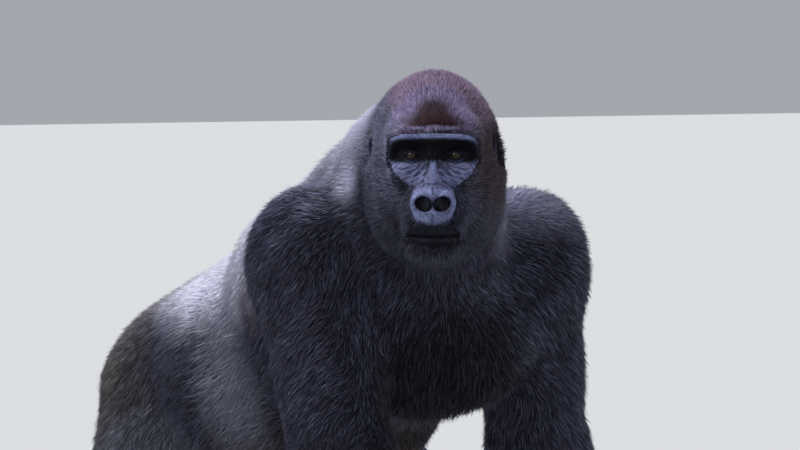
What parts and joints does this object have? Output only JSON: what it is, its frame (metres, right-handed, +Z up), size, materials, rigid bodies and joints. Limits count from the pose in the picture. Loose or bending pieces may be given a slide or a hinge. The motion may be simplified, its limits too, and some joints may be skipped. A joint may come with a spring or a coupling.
{
  "type": "gorilla",
  "caption": "Life-size still model of an adult male western lowland gorilla, a silverback, standing on all fours on its knuckles with the head turned to its right.",
  "frame": {"origin": "on the floor, under the middle of the animal's outline seen from above", "axes": "+Z up, -Y the way the body faces, -X the animal's right side"},
  "size_m": [0.6452, 1.2462, 1.1692],
  "materials": {
    "coat": "short dense blue-black hair",
    "saddle": "short silver-grey speckled hair",
    "crown": "short dark reddish-brown hair",
    "bare_skin": "blue-black wrinkled skin",
    "eye": "wet dark brown"
  },
  "bodies": {
    "root": {"abdomen": "saddle", "chest": "coat", "ear_left": "bare_skin", "ear_right": "bare_skin", "eye_left": "eye", "eye_right": "eye", "foot_left": "bare_skin", "foot_right": "bare_skin", "forearm_left": "coat", "forearm_right": "coat", "hand_left": "bare_skin", "hand_right": "bare_skin", "head": "crown", "jaw": "coat", "neck": "coat", "pelvis": "saddle", "shank_left": "coat", "shank_right": "coat", "thigh_left": "saddle", "thigh_right": "saddle", "upper_arm_left": "coat", "upper_arm_right": "coat"}
  },
  "joints": []
}
